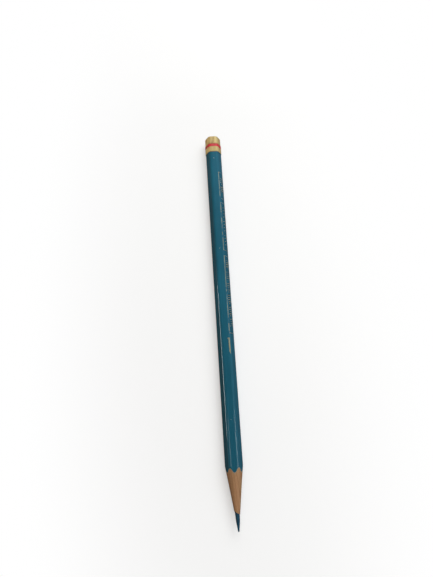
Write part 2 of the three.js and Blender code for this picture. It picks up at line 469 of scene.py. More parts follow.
core = groove_rod("pigment_core", CORE_RADIUS, TIP_Y - MM)
cut(core, "INTERSECT", lean_tool(turned("worn_point", WORN_POINT, 96)))
open_piece(core)
keep_side((TIP_X, TIP_Y + 0.06 * MM, AXIS_Z + 0.18 * MM), (-0.2, 1, -0.55))
close_piece()
smooth(core, 24)
hand_over(core, "lead_core")

# %% [markdown]
# ## The undercoat and the lacquer
#
# A pencil gets a dozen thin dips of paint, pulled through a rubber ring each time. The first
# ones are a pale primer, and the last are teal. Where the sharpener cuts through them they
# end in scallops: low over each flat, high over each corner. Each coat is a thin hexagonal
# tube: the outline is inset by the thickness of the coat, the middle removed, and the ring
# that is left is pulled along the pencil.

# %% Draw the two coats
COAT_START_Y = TIP_Y + 17.4 * MM


def paint_tube(name, apothem, thickness, cuts):
    """A hexagonal tube of paint, with evenly spaced cuts along its length."""
    tube = hexagon(name, apothem, COAT_START_Y)
    bpy.ops.mesh.inset(thickness=thickness)
    bpy.ops.mesh.delete(type="FACE")
    pick_all()
    extrude((0, COAT_END_Y - COAT_START_Y, 0))
    pick("edges", lambda edge: edge.calc_length() > 100 * MM)
    bpy.ops.mesh.subdivide(number_cuts=cuts)
    face_outwards()
    close_piece()
    return tube


undercoat = paint_tube("primer_coat", PRIMER_APOTHEM, PRIMER_THICK, 8)
cut(undercoat, "INTERSECT", paint_sharpener, keep_tool=True)
lacquer = paint_tube("teal_lacquer", APOTHEM, LACQUER_THICK, 63)
print("paint tubes:", len(undercoat.data.polygons), "and", len(lacquer.data.polygons), "faces")

# %% [markdown]
# A used pencil has a few shallow dents, from rattling in a tin. To press one we cut closer
# rings just there, select the nearest point, and push it in with proportional editing, which
# takes its neighbours along in a soft hollow. A very faint waviness, five thousandths of
# a millimetre, is enough to make a long highlight look hand made instead of ruled.

# %% Press the dents and add the waviness
DENTS = [  # distance from the point, angle above +X in degrees, depth and reach, all mm
    (38.6, 78, 0.022, 0.55),
    (52.3, 112, 0.03, 0.5),
    (67.0, 20, 0.028, 0.7),
    (84.2, 97, 0.018, 0.45),
    (101.5, 155, 0.03, 0.6),
    (118.9, 118, 0.024, 0.5),
    (139.4, 62, 0.02, 0.5),
    (73.5, 235, 0.03, 0.6),
    (126.0, 300, 0.03, 0.7),
]


def direction_of(angle):
    """The unit direction across the pencil at an angle above +X, in degrees."""
    return Vector((math.cos(math.radians(angle)), 0, math.sin(math.radians(angle))))


def press(place, inwards, reach, outer_wall):
    """Push the point nearest to a place, and its neighbours, inwards.

    Only points farther than outer_wall from the axis count.
    """
    shape = bmesh.from_edit_mesh(bpy.context.object.data)
    outer = [spot for spot in shape.verts if math.hypot(spot.co.x, spot.co.z - AXIS_Z) > outer_wall]
    nearest = min(outer, key=lambda spot: (spot.co - place).length)
    pick("verts", lambda spot: spot == nearest)
    bpy.ops.transform.translate(
        value=inwards,
        use_proportional_edit=True,
        proportional_edit_falloff="SMOOTH",
        proportional_size=reach,
        use_proportional_connected=True,
    )


DENT_BAND = 1.3 * MM
COARSE = 1.5 * MM
open_piece(lacquer)
for along, angle, depth, reach in DENTS:
    y = TIP_Y + along * MM
    pick("edges", lambda edge: abs(middle(edge).y - y) < DENT_BAND and edge.calc_length() > COARSE)
    bpy.ops.mesh.subdivide(number_cuts=9)
    out = direction_of(angle)
    press(AXIS + Vector((0, y, 0)) + out * APOTHEM, -out * depth * MM, reach * MM, APOTHEM - 0.02 * MM)
close_piece()

waves = bpy.data.textures.new("slow_waves", "CLOUDS")
waves.noise_scale = 11 * MM
modify(lacquer, "DISPLACE", texture=waves, texture_coords="LOCAL", strength=0.01 * MM, mid_level=1.0)
cut(lacquer, "INTERSECT", paint_sharpener)

# %% Keep the cut edge of the paint crisp
RIM_SLOPE = (0.08, 0.3)


def crisp_rim(piece):
    """Mark the edges between the painted sides and the sharpened rim as sharp."""
    open_piece(piece)

    def borders(edge):
        on_rim = [RIM_SLOPE[0] < abs(face.normal.y) < RIM_SLOPE[1] for face in edge.link_faces]
        return len(on_rim) == 2 and on_rim[0] != on_rim[1]

    found = pick("edges", borders)
    bpy.ops.mesh.mark_sharp()
    close_piece()
    return found


for piece in (undercoat, lacquer):
    smooth(piece, 30)
    print(piece.name, "crisp edges:", crisp_rim(piece))
hand_over(undercoat, "undercoat")
hand_over(lacquer, "lacquer_coat")

# %% [markdown]
# ## The end cap
#
# The cap is drawn from thin brass sheet: a cup pushed over the end, with a narrow crown on
# the bare wood, a milled bead, a seat for the ring, and a wider skirt over the paint. We run
# one hexagonal outline through a list of stations, first up the outside and then, from the
# same edge, up the inside, so the sheet has its real thickness everywhere.

# %% List the stations outside and inside
RING_PROUD = 0.01 * MM
SKIRT = (ring_high.z - ring_low.z) / 2 - RING_PROUD
CROWN = WOOD_APOTHEM + 0.155 * MM
CROWN_INSIDE = WOOD_APOTHEM + 0.03 * MM
SEAT = SKIRT - 0.06 * MM
BEAD = SKIRT - 0.03 * MM
MOUTH = APOTHEM + 0.012 * MM
OVER_PAINT = APOTHEM + 0.02 * MM
SKIRT_Y = cap_low.y
SEAT_Y = ring_low.y - 0.01 * MM
BEAD_Y = ring_high.y + 0.01 * MM
EDGE = 0.75 * MM
DISH = 0.05 * MM
SHEET_AT_END = 0.14 * MM


def offsets(y, apothem, rows):
    """Stations at (along, outwards) offsets in mm from one place."""
    return [(y + along * MM, apothem + outwards * MM) for along, outwards in rows]


def rounded(end_y, apothem, radius, steps):
    """The stations of a quarter round that ends square to the axis."""
    stations = []
    for step in range(steps):
        turn = step * math.pi / 2 / (steps - 1)
        back = radius * (1 - math.sin(turn))
        stations.append((end_y - back, apothem - radius * (1 - math.cos(turn))))
    return stations


outside = [(SKIRT_Y, MOUTH + 0.03 * MM)]
outside += offsets(SKIRT_Y, SKIRT, [(0, -0.04), (0.02, -0.012), (0.06, 0)])
outside += offsets(SKIRT_Y, SKIRT, [(0.2 + 0.19 * step, 0) for step in range(14)])
outside += offsets(SEAT_Y, SKIRT, [(-0.12, 0), (-0.05, -0.01), (-0.015, -0.03)])
outside += [(SEAT_Y, SEAT), (BEAD_Y, SEAT)]
outside += offsets(BEAD_Y, BEAD, [(0.01, -0.02), (0.05, 0), (0.15, 0.004), (0.25, 0), (0.3, -0.03)])
outside += offsets(BEAD_Y, CROWN, [(0.34, 0.012), (0.42, 0)])
outside += offsets(BEAD_Y, CROWN, [(0.8 + 0.55 * step, 0) for step in range(5)])
outside += rounded(BUTT_Y, CROWN, EDGE, 7)
outside += offsets(BUTT_Y, CROWN - EDGE, [(0, -0.35), (-0.05, -0.5)])
outside += [(BUTT_Y - DISH, 1.2 * MM), (BUTT_Y - DISH, 0.3 * MM)]

INNER_END_Y = BUTT_Y - SHEET_AT_END
inside = [(SKIRT_Y + 0.3 * MM, OVER_PAINT), (COAT_END_Y - 1.2 * MM, OVER_PAINT)]
inside += [(COAT_END_Y + 0.02 * MM, MOUTH), (COAT_END_Y + 0.03 * MM, CROWN_INSIDE)]
inside += rounded(INNER_END_Y, CROWN_INSIDE, END_ROUND, 5)
inside += [(INNER_END_Y, 1.2 * MM), (INNER_END_Y, 0.3 * MM)]
print("stations:", len(outside), "outside and", len(inside), "inside")

# %% Carry the outline up both walls
MOUTH_Y = SKIRT_Y + 0.02 * MM
cap = hexagon("brass_cap", SKIRT, MOUTH_Y)
bpy.ops.transform.resize(value=(MOUTH / SKIRT, 1, MOUTH / SKIRT), center_override=(0, MOUTH_Y, AXIS_Z))
bpy.ops.mesh.delete(type="ONLY_FACE")
for wall in (outside, inside):
    pick("edges", lambda edge: abs(middle(edge).y - MOUTH_Y) < 0.001 * MM and len(edge.link_faces) < 2)
    carry(wall, MOUTH_Y, MOUTH)
    bpy.ops.mesh.merge(type="CENTER")
face_outwards()
print("cap:", len(bmesh.from_edit_mesh(bpy.context.object.data).verts), "points before milling")

# %% [markdown]
# The bead above the ring is milled with short notches all the way round. The crown has faint
# draw lines along it, left by the die. Both are made by picking columns of points by their
# order round the cap and scaling them a little towards the axis. Three pricks through the
# skirt hold the cap on.

# %% Mill the bead and draw the flutes
def round_the_cap(low_y, high_y, reach):
    """The cap's outer points between two heights, listed by their place in the order round it."""
    shape = bmesh.from_edit_mesh(bpy.context.object.data)
    rows = {}
    for spot in shape.verts:
        right, up = spot.co.x, spot.co.z - AXIS_Z
        if low_y < spot.co.y < high_y and math.hypot(right, up) > reach:
            row = rows.setdefault(round(spot.co.y / MM, 3), [])
            row.append((math.atan2(up, right), spot.index))
    columns = {}
    for row in rows.values():
        for place, (angle, index) in enumerate(sorted(row)):
            columns.setdefault(place, []).append(index)
    return columns


def sink(columns, places, depth, size):
    """Scale the chosen columns of points towards the axis by a depth."""
    chosen = {index for place in places for index in columns.get(place, [])}
    pick("verts", lambda spot: spot.index in chosen)
    scale = 1 - depth / size
    bpy.ops.transform.resize(value=(scale, 1, scale), center_override=(0, BEAD_Y, AXIS_Z))


NOTCH_DEPTH = 0.11 * MM
bead_columns = round_the_cap(BEAD_Y + 0.02 * MM, BEAD_Y + 0.28 * MM, BEAD - 0.03 * MM)
notched = [place for place in bead_columns if place % 4 < 2]
sink(bead_columns, notched, NOTCH_DEPTH, BEAD)

FLUTE_DEPTH = 0.012 * MM
draw_lines = random.Random(11)
crown_columns = round_the_cap(BEAD_Y + 0.5 * MM, BUTT_Y - 0.9 * EDGE, CROWN - 0.03 * MM)
fluted = [place for place in crown_columns if draw_lines.random() < 0.3]
sink(crown_columns, fluted, FLUTE_DEPTH, CROWN)
print("milled notches:", len(notched) // 2, "flutes:", len(fluted))

# %% Prick the skirt on every other facet
PRICK_Y = (SKIRT_Y + SEAT_Y) / 2
PRICK_ASIDE = 1.3 * MM
PRICK_DEPTH = 0.13 * MM
PRICK_REACH = 0.34 * MM
FINER_WITHIN = 0.42 * MM
for facet in (90, 210, 330):
    out = direction_of(facet)
    right = direction_of(facet - 90)
    place = AXIS + Vector((0, PRICK_Y, 0)) + out * SKIRT + right * PRICK_ASIDE
    pick("faces", lambda face: (middle(face) - place).length < FINER_WITHIN)
    bpy.ops.mesh.subdivide(number_cuts=2)
    press(place, -out * PRICK_DEPTH, PRICK_REACH, SKIRT - 0.02 * MM)
close_piece()
smooth(cap, 35)
hand_over(cap, "end_cap")

# %% [markdown]
# ## The red ring
#
# The ring is a band of baked enamel in a shallow seat. It is laid on with a wheel, so its
# edges wander a little. The same outline is carried round a small closed section, and a noise
# texture then shifts it along the pencil.

# %% Carry the ring and let its edges wander
RING = SKIRT + 0.008 * MM
RING_LOW_Y = SEAT_Y + 0.035 * MM
RING_HIGH_Y = BEAD_Y - 0.035 * MM
RING_INNER = SEAT + 0.004 * MM
SECTION_START_Y = RING_LOW_Y + 0.1 * MM

section = [(RING_LOW_Y + share * (RING_HIGH_Y - RING_LOW_Y), RING) for share in (0.35, 0.65)]
section += offsets(RING_HIGH_Y, RING, [(-0.1, 0), (-0.03, -0.008), (0, -0.03)])
section += [(RING_HIGH_Y, RING_INNER), (RING_LOW_Y, RING_INNER)]
section += offsets(RING_LOW_Y, RING, [(0, -0.03), (0.03, -0.008)]) + [(SECTION_START_Y, RING)]
ring = hexagon("red_enamel_ring", RING, SECTION_START_Y)
bpy.ops.mesh.delete(type="ONLY_FACE")
pick_all()
carry(section, SECTION_START_Y, RING)
face_outwards()
close_piece()

WANDER = 0.07 * MM
wander = bpy.data.textures.new("wheel_wander", "CLOUDS")
wander.noise_scale = 1.6 * MM
modify(ring, "DISPLACE", texture=wander, texture_coords="LOCAL", direction="Y", strength=WANDER)
smooth(ring, 35)
hand_over(ring, "red_ring")

# %% [markdown]
# ## The foil stamping
#
# Metal foil is stamped on one facet with a hot die: three long frames with a small repeated
# ornament inside, and a plain bar on the corner above them. We cut the foil flat, hold it
# above the facet, and project it on to the lacquer with Shrinkwrap, which carries it round the
# soft corners. Solidify then gives the film its thickness.

# %% Helpers for flat foil
FOIL_FILM = 0.014 * MM
FOIL_LIFT = 0.006 * MM
HOLD_ABOVE = 5 * MM
FRAME_TOP = -2.05 * MM
FRAME_FOOT = 1.2 * MM
THIN_LINE = 0.17 * MM
BOLD_LINE = 0.22 * MM


def patch(x0, x1, y0, y1):
    """Add a flat rectangle to the open piece and leave it selected."""
    bpy.ops.mesh.primitive_plane_add(size=1, location=((x0 + x1) / 2, (y0 + y1) / 2, 0))
    bpy.ops.transform.resize(
        value=(x1 - x0, y1 - y0, 1),
        center_override=((x0 + x1) / 2, (y0 + y1) / 2, 0),
    )


def lean(distance):
    """Slide the upper edge of the selected rectangles along the pencil."""
    shape = bmesh.from_edit_mesh(bpy.context.object.data)
    spots = [spot for spot in shape.verts if spot.select]
    halfway = sum(spot.co.y for spot in spots) / len(spots)
    upper = {spot.index for spot in spots if spot.co.y < halfway}
    shape.verts.index_update()
    pick("verts", lambda spot: spot.index in upper)
    bpy.ops.transform.translate(value=(distance, 0, 0))


def repeat(pitch, count):
    for copy in range(count - 1):
        bpy.ops.mesh.duplicate_move(TRANSFORM_OT_translate={"value": (pitch, 0, 0)})


def start_flat(name):
    piece = start_piece(name, bpy.ops.mesh.primitive_plane_add, size=1)
    open_piece(piece)
    bpy.ops.mesh.delete(type="VERT")
    return piece


# %% Lay the flat foil on the lacquer
def stamp(piece, facing):
    """Hold flat foil over the side that faces an angle above +X, in degrees, and press it on."""
    pick_all()
    bpy.ops.mesh.subdivide(number_cuts=7)
    close_piece()
    along = Vector((0, -1, 0))
    out = direction_of(facing)
    across = out.cross(along)
    turn = Matrix((along, across, out)).transposed().to_4x4()
    piece.matrix_world = Matrix.Translation(AXIS + Vector((0, BUTT_Y, 0)) + out * HOLD_ABOVE) @ turn
    modify(
        piece,
        "SHRINKWRAP",
        target=lacquer,
        wrap_method="PROJECT",
        use_project_z=True,
        use_negative_direction=True,
        use_positive_direction=False,
        offset=FOIL_LIFT,
    )
    modify(piece, "SOLIDIFY", thickness=FOIL_FILM, offset=1)
    settle()
    open_piece(piece)
    face_outwards()
    close_piece()
    smooth(piece, 30)


# %% [markdown]
# The ornament inside the frames is generic on purpose, and there is no lettering: groups of
# leaning strokes with a lozenge between the groups, as on the border of a ruler. The outer
# frames carry bold strokes close together, and the middle one fine strokes wide apart. One
# stroke is made and copied along the frame.

# %% Stamp the three frames
LOZENGE = 0.25 * MM


def ornament(start, end, group, pitch, stroke, top, foot):
    """Fill a frame with groups of leaning strokes and a lozenge after each group."""
    group_pitch = (group + 1.6) * pitch
    groups = int((end - start) / group_pitch)
    margin = ((end - start) - groups * group_pitch + 0.6 * pitch) / 2
    height = (top + foot) / 2
    for number in range(groups):
        left = start + margin + number * group_pitch
        patch(left, left + stroke, top, foot)
        lean(0.4 * pitch)
        bpy.ops.mesh.select_linked()
        repeat(pitch, group)
        centre = left + (group + 0.35) * pitch
        patch(centre - LOZENGE, centre + LOZENGE, height - LOZENGE, height + LOZENGE)
        bpy.ops.transform.rotate(value=math.pi / 4, orient_axis="Z", center_override=(centre, height, 0))
    return groups


PANELS = [  # strokes in a group, pitch, stroke width, upper and lower ends of the strokes, mm
    ("foil_frame_short", "foil_panel_short", 3, 0.96, 0.46, -1.35, 0.65),
    ("foil_frame_middle", "foil_panel_middle", 3, 1.5, 0.16, -1.0, 0.45),
    ("foil_frame_long", "foil_panel_long", 4, 0.96, 0.44, -1.35, 0.65),
]
foils = []
for name, node, group, *sizes in PANELS:
    panel_low, panel_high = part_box(node)
    start = BUTT_Y - panel_high.y
    end = BUTT_Y - panel_low.y
    panel = start_flat(name)
    patch(start, end, FRAME_TOP, FRAME_FOOT)
    bpy.ops.mesh.inset(thickness=THIN_LINE)
    bpy.ops.mesh.delete(type="FACE")
    pick("verts", lambda spot: abs(spot.co.y - FRAME_TOP - THIN_LINE) < 0.01 * MM)
    bpy.ops.transform.translate(value=(0, BOLD_LINE - THIN_LINE, 0))
    pick_all()
    bpy.ops.mesh.subdivide(number_cuts=1)
    groups = ornament(start + 0.5 * MM, end - 0.5 * MM, group, *[size * MM for size in sizes])
    stamp(panel, 30)
    hand_over(panel, node)
    foils.append(panel)
    print(name, "has", groups, "groups of", group, "strokes")

# %% [markdown]
# The bar on the corner has a small foot at the end towards the cap, and a slanted end towards
# the point, like the blade of a ruling pen.

# %% Stamp the corner bar
BAR_TOP = -0.4 * MM
BAR_FOOT = 0.27 * MM
BAR_FACING = math.degrees(1.15)
mark_low, mark_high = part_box("foil_mark")
mark_start = BUTT_Y - mark_high.y
mark_end = BUTT_Y - mark_low.y
mark = start_flat("foil_corner_bar")
patch(mark_start + 0.9 * MM, mark_end - 0.05 * MM, BAR_TOP, BAR_FOOT)
pick("verts", lambda spot: spot.co.x > mark_end - 0.3 * MM and spot.co.y < 0)
bpy.ops.transform.translate(value=(-1.5 * MM, 0, 0))
pick("edges", lambda edge: middle(edge).x < mark_start + MM)
for back, spread in ((0.12 * MM, 1.0), (0.1 * MM, 1.45), (0.66 * MM, 1.0)):
    extrude((-back, 0, 0))
    bpy.ops.transform.resize(value=(1, spread, 1), center_override=(mark_start, BAR_FOOT, 0))
stamp(mark, BAR_FACING)
hand_over(mark, "foil_mark")
foils.append(mark)

# %% [markdown]
# # Finishes
#
# Each finish starts from what the real one is, and every pattern is sized in millimetres and
# read from Object coordinates, so it stays on its piece. One function turns the usual hex
# colours to linear light. One other adds any node, with its settings and its links, and gives
# back the output that the next node needs.

# %% Colour and node helpers
SMOOTH = {"interpolation_type": "SMOOTHSTEP"}
COLOURS = {"data_type": "RGBA"}
TIMES = {"operation": "MULTIPLY"}
TIMES_PLUS = {"operation": "MULTIPLY_ADD"}


def colour(code):
    """A hex colour such as #1B4F61, as linear light for a shader."""
    shares = [int(code[place:place + 2], 16) / 255 for place in (1, 3, 5)]
    linear = [share / 12.92 if share < 0.04045 else ((share + 0.055) / 1.055) ** 2.4 for share in shares]
    return (*linear, 1)


def per_mm(size):
    """The scale of a pattern whose features are this many millimetres across."""
    return 1 / (size * MM)


def add(tree, kind, inputs=(), out=0, **settings):
    """Add a node; its inputs, by order or by name, are values or outputs to link from."""
    node = tree.nodes.new("ShaderNode" + kind)
    for name, value in settings.items():
        setattr(node, name, value)
    named = inputs if isinstance(inputs, dict) else dict(enumerate(inputs))
    for socket, value in named.items():
        if isinstance(value, bpy.types.NodeSocket):
            tree.links.new(value, node.inputs[socket])
        else:
            node.inputs[socket].default_value = value
    return node.outputs[out]


def new_finish(name, shader_inputs):
    """A material with a bare shader, and the Object coordinates that its patterns read."""
    finish = bpy.data.materials.new(name)
    finish.use_nodes = True
    tree = finish.node_tree
    shader = tree.nodes["Principled BSDF"]
    for socket, value in shader_inputs.items():
        shader.inputs[socket].default_value = value
    return finish, tree, shader, add(tree, "TexCoord", out=3)


def dress(tree, shader, links):
    """Link outputs to the shader's sockets, by name."""
    for socket, output in links.items():
        tree.links.new(output, shader.inputs[socket])


def wear(piece, finish):
    piece.data.materials.clear()
    piece.data.materials.append(finish)


# %% [markdown]
# ## Teal nitrocellulose lacquer
#
# Dipped in many thin coats and wiped through a rubber ring: glossy, an even deep teal, with
# faint lines along the pencil, hair scratches from handling, and a few tiny chips where the
# pale primer shows. The chips come from a cell pattern: each cell has one point, and only
# the cells with a high random number get a chip. The scratches are drawn far wider than real
# ones, a tenth of a millimetre, so that they show.

# %% Mix the lacquer
lacquer_finish, tree, shader, place = new_finish(
    "teal nitrocellulose lacquer", {"IOR": 1.46, "Roughness": 0.1, "Specular IOR Level": 0.26}
)
drawn = add(tree, "Mapping", {"Vector": place, "Scale": (1, 0.012, 1)})
streaks = add(tree, "TexNoise", {"Vector": drawn, "Scale": per_mm(0.35), "Detail": 3})
streaks = add(tree, "MapRange", (streaks, 0.3, 0.7, 0, 0.5), **SMOOTH)
long = add(tree, "Mapping", {"Vector": place, "Scale": (1, 0.4, 1), "Location": (0.02, 0, 0)})
clouds = add(tree, "TexNoise", {"Vector": long, "Scale": per_mm(9), "Detail": 3})
clouds = add(tree, "MapRange", (clouds, 0.3, 0.7, 0, 0.5), **SMOOTH)
depth_of_colour = add(tree, "Math", (streaks, clouds))
paint = add(tree, "Mix", {0: depth_of_colour, 6: colour("#114859"), 7: colour("#1A5668")}, 2, **COLOURS)

# %% Chip and scratch the lacquer
cell = {"Vector": place, "Scale": per_mm(1.7)}
from_middle = add(tree, "TexVoronoi", cell)
draw = add(tree, "SeparateColor", (add(tree, "TexVoronoi", cell, 1),))
chip = add(tree, "MapRange", (from_middle, 0.11, 0.07), **SMOOTH)
chosen = add(tree, "MapRange", (draw, 0.93, 0.95), **SMOOTH)
chip = add(tree, "Math", (chip, chosen), **TIMES)
paint = add(tree, "Mix", {0: chip, 6: paint, 7: colour("#B9C0B2")}, 2, **COLOURS)
hair = add(tree, "Mapping", {"Vector": place, "Scale": (1, 0.02, 1), "Location": (0, 0.3, 0)})
scratches = add(tree, "TexNoise", {"Vector": hair, "Scale": per_mm(0.09)})
hands = add(tree, "Mapping", {"Vector": place, "Scale": (1, 0.5, 1), "Location": (0.3, 0, 0)})
handling = add(tree, "TexNoise", {"Vector": hands, "Scale": per_mm(3.5), "Detail": 4})
dull = add(tree, "MapRange", (handling, 0.35, 0.75, 0.08, 0.15), **SMOOTH)
dull = add(tree, "Math", (dull, add(tree, "MapRange", (scratches, 0.55, 0.75, 0, 0.04), **SMOOTH)))
dull = add(tree, "Math", (chip, 0.3, dull), **TIMES_PLUS)
height = add(tree, "Math", (chip, -4, streaks), **TIMES_PLUS)
height = add(tree, "Math", (height, add(tree, "MapRange", (scratches, 0.6, 0.7, 0, -0.25), **SMOOTH)))
relief = add(tree, "Bump", {"Height": height, "Distance": 0.004 * MM})
dress(tree, shader, {"Base Color": paint, "Roughness": dull, "Normal": relief})
wear(lacquer, lacquer_finish)

# %% [markdown]
# ## Primer
#
# A matt, chalky coat in a dull stone colour, with a fine grain from its filler. It shows only
# as a hairline between the lacquer and the wood.

# %% Mix the primer
primer_finish, tree, shader, place = new_finish("matt chalk primer", {"Roughness": 0.7})
grain = add(tree, "TexNoise", {"Vector": place, "Scale": per_mm(0.15), "Detail": 3})
chalk = add(tree, "Mix", {0: grain, 6: colour("#7F7660"), 7: colour("#978D76")}, 2, **COLOURS)
relief = add(tree, "Bump", {"Height": grain, "Distance": 0.004 * MM})
dress(tree, shader, {"Base Color": chalk, "Normal": relief})
wear(undercoat, primer_finish)

# %% [markdown]
# ## Sharpened cedar
#
# Incense cedar is a straight, fine-grained red-brown wood. Its growth rings are nearly flat
# sheets about a millimetre apart, so a cone cut through them shows long narrow curves that
# run towards the point. A blade leaves a slight sheen and faint rings round the cone, and near
# the core it smears a little pigment over the wood. The two slats come from different boards,
# so their rings lean differently. The fibres are drawn coarser than real ones, so that they
# show.

# %% Saw the cedar
RING_SPACING = 1.05 * MM


def cedar(name, lean_angle, shift):
    finish, tree, shader, place = new_finish(name, {"IOR": 1.5, "Specular IOR Level": 0.25})
    board = add(tree, "Mapping", (place, shift, (0, lean_angle, 0.004)))
    sawn = {"Vector": board, "Scale": math.tau / 20 / RING_SPACING, "Distortion": 1.6}
    rings = add(tree, "TexWave", sawn | {"Detail": 2, "Detail Scale": 0.35}, 1, bands_direction="X")
    late_wood = add(tree, "MapRange", (rings, 0.55, 1.0, 0, 0.4), **SMOOTH)
    straight_grain = add(tree, "Mapping", {"Vector": place, "Location": shift, "Scale": (1, 0.018, 1)})
    fibres = add(tree, "TexNoise", {"Vector": straight_grain, "Scale": per_mm(0.11), "Detail": 3})
    short_grain = add(tree, "Mapping", {"Vector": place, "Location": shift, "Scale": (1, 0.05, 1)})
    pores = add(tree, "TexNoise", {"Vector": short_grain, "Scale": per_mm(0.07)})
    slow = add(tree, "Mapping", {"Vector": place, "Location": shift, "Scale": (1, 0.3, 1)})
    wander = add(tree, "TexNoise", {"Vector": slow, "Scale": per_mm(3)})

    share = add(tree, "MapRange", (fibres, 0.3, 0.7), **SMOOTH)
    wood = add(tree, "Mix", {0: share, 6: colour("#AA835E"), 7: colour("#98724D")}, 2, **COLOURS)
    wood = add(tree, "Mix", {0: late_wood, 6: wood, 7: colour("#805739")}, 2, **COLOURS)
    share = add(tree, "MapRange", (wander, 0.38, 0.62, 0, 0.35), **SMOOTH)
    wood = add(tree, "Mix", {0: share, 6: wood, 7: colour("#A57857")}, 2, **COLOURS)
    share = add(tree, "MapRange", (pores, 0.66, 0.74, 0, 0.5), **SMOOTH)
    wood = add(tree, "Mix", {0: share, 6: wood, 7: colour("#6A4830")}, 2, **COLOURS)
    along = add(tree, "SeparateXYZ", (place,), 1)
    near_core = add(tree, "MapRange", (along, TIP_Y + 8.6 * MM, TIP_Y + 6.0 * MM, 0, 0.3), **SMOOTH)
    smear = add(tree, "Math", (near_core, share), **TIMES)
    smear = add(tree, "Math", (near_core, 0.4, smear), **TIMES_PLUS)
    wood = add(tree, "Mix", {0: smear, 6: wood, 7: colour("#35505A")}, 2, **COLOURS)

    dull = add(tree, "MapRange", (fibres, 0.3, 0.7, 0.5, 0.68), **SMOOTH)
    shaved = add(tree, "Mapping", {"Vector": place, "Scale": (0.25, 1, 0.25), "Location": (0.1, 0, 0)})
    blade = add(tree, "TexNoise", {"Vector": shaved, "Scale": per_mm(0.3)})
    height = add(tree, "Math", (blade, 0.5, fibres), **TIMES_PLUS)
    height = add(tree, "Math", (late_wood, 0.8, height), **TIMES_PLUS)
    relief = add(tree, "Bump", {"Height": height, "Distance": 0.016 * MM})
    dress(tree, shader, {"Base Color": wood, "Roughness": dull, "Normal": relief})
    return finish


first_board = cedar("sharpened incense cedar", math.radians(24), (0.003, 0, 0))
second_board = cedar("sharpened incense cedar second board", math.radians(-38), (0.011, 0.02, 0.004))
wear(slats["cedar_slat_top"], first_board)
wear(slats["cedar_slat_bottom"], second_board)

# %% [markdown]
# ## Glue
#
# A thin line of casein glue, yellow-brown and slightly shiny, seen only on the sharpened
# cone.

# %% Mix the glue
glue_finish, tree, shader, place = new_finish("dried casein glue", {"Roughness": 0.45})
squeezed = add(tree, "Mapping", {"Vector": place, "Scale": (1, 0.3, 1)})
beads = add(tree, "TexNoise", {"Vector": squeezed, "Scale": per_mm(0.4)})
casein = add(tree, "Mix", {0: beads, 6: colour("#8C6E4E"), 7: colour("#75583C")}, 2, **COLOURS)
relief = add(tree, "Bump", {"Height": beads, "Distance": 0.003 * MM})
dress(tree, shader, {"Base Color": casein, "Normal": relief})
for film in films.values():
    wear(film, glue_finish)

# %% [markdown]
# ## Coloured core
#
# Blue pigment, clay and wax: almost matt with a waxy sheen, slightly mottled, scraped round
# by the sharpener and rubbed along by the paper.

# %% Mix the core
core_finish, tree, shader, place = new_finish(
    "blue pigment and wax", {"IOR": 1.45, "Roughness": 0.5, "Specular IOR Level": 0.25}
)
squat = add(tree, "Mapping", {"Vector": place, "Scale": (1, 0.6, 1)})
mottle = add(tree, "TexNoise", {"Vector": squat, "Scale": per_mm(0.5), "Detail": 4})
mottle = add(tree, "MapRange", (mottle, 0.3, 0.7), **SMOOTH)
round_it = add(tree, "Mapping", {"Vector": place, "Scale": (0.2, 1, 0.2)})
scrapes = add(tree, "TexNoise", {"Vector": round_it, "Scale": per_mm(0.12)})
scrapes = add(tree, "MapRange", (scrapes, 0.3, 0.7), **SMOOTH)
along_it = add(tree, "Mapping", {"Vector": place, "Scale": (1, 0.08, 1)})
rubbed = add(tree, "TexNoise", {"Vector": along_it, "Scale": per_mm(0.16)})
rubbed = add(tree, "MapRange", (rubbed, 0.56, 0.7, 0, 0.35), **SMOOTH)
pigment = add(tree, "Mix", {0: mottle, 6: colour("#0B354A"), 7: colour("#154459")}, 2, **COLOURS)
pigment = add(tree, "Mix", {0: rubbed, 6: pigment, 7: colour("#265B72")}, 2, **COLOURS)
dull = add(tree, "MapRange", (scrapes, 0, 1, 0.4, 0.58), **SMOOTH)
height = add(tree, "Math", (scrapes, mottle))
relief = add(tree, "Bump", {"Height": height, "Distance": 0.012 * MM})
dress(tree, shader, {"Base Color": pigment, "Roughness": dull, "Normal": relief})
wear(core, core_finish)

# %% [markdown]
# ## Drawn brass
#
# Thin yellow brass, drawn through a die and lightly varnished. It is satin, not mirror bright,
# with fine lines along it and brown tarnish in streaks. The milled bead and a line along the
# mouth are painted darker: painted shade, where the notches and the lip hold shade.

# %% Draw the brass
brass_finish, tree, shader, place = new_finish("drawn yellow brass", {"Metallic": 0.8})
through_die = add(tree, "Mapping", {"Vector": place, "Scale": (1, 0.03, 1)})
lines = add(tree, "TexNoise", {"Vector": through_die, "Scale": per_mm(0.22), "Detail": 3})
fine_lines = add(tree, "TexNoise", {"Vector": through_die, "Scale": per_mm(0.06)})
aged = add(tree, "Mapping", {"Vector": place, "Scale": (1, 0.22, 1), "Location": (0.01, 0.4, 0)})
stain = add(tree, "TexNoise", {"Vector": aged, "Scale": per_mm(1.3), "Detail": 4})
share = add(tree, "MapRange", (lines, 0.3, 0.7), **SMOOTH)
brass = add(tree, "Mix", {0: share, 6: colour("#E4CC90"), 7: colour("#D2B575")}, 2, **COLOURS)
share = add(tree, "MapRange", (stain, 0.5, 0.7, 0, 0.6), **SMOOTH)
brass = add(tree, "Mix", {0: share, 6: brass, 7: colour("#946C3C")}, 2, **COLOURS)
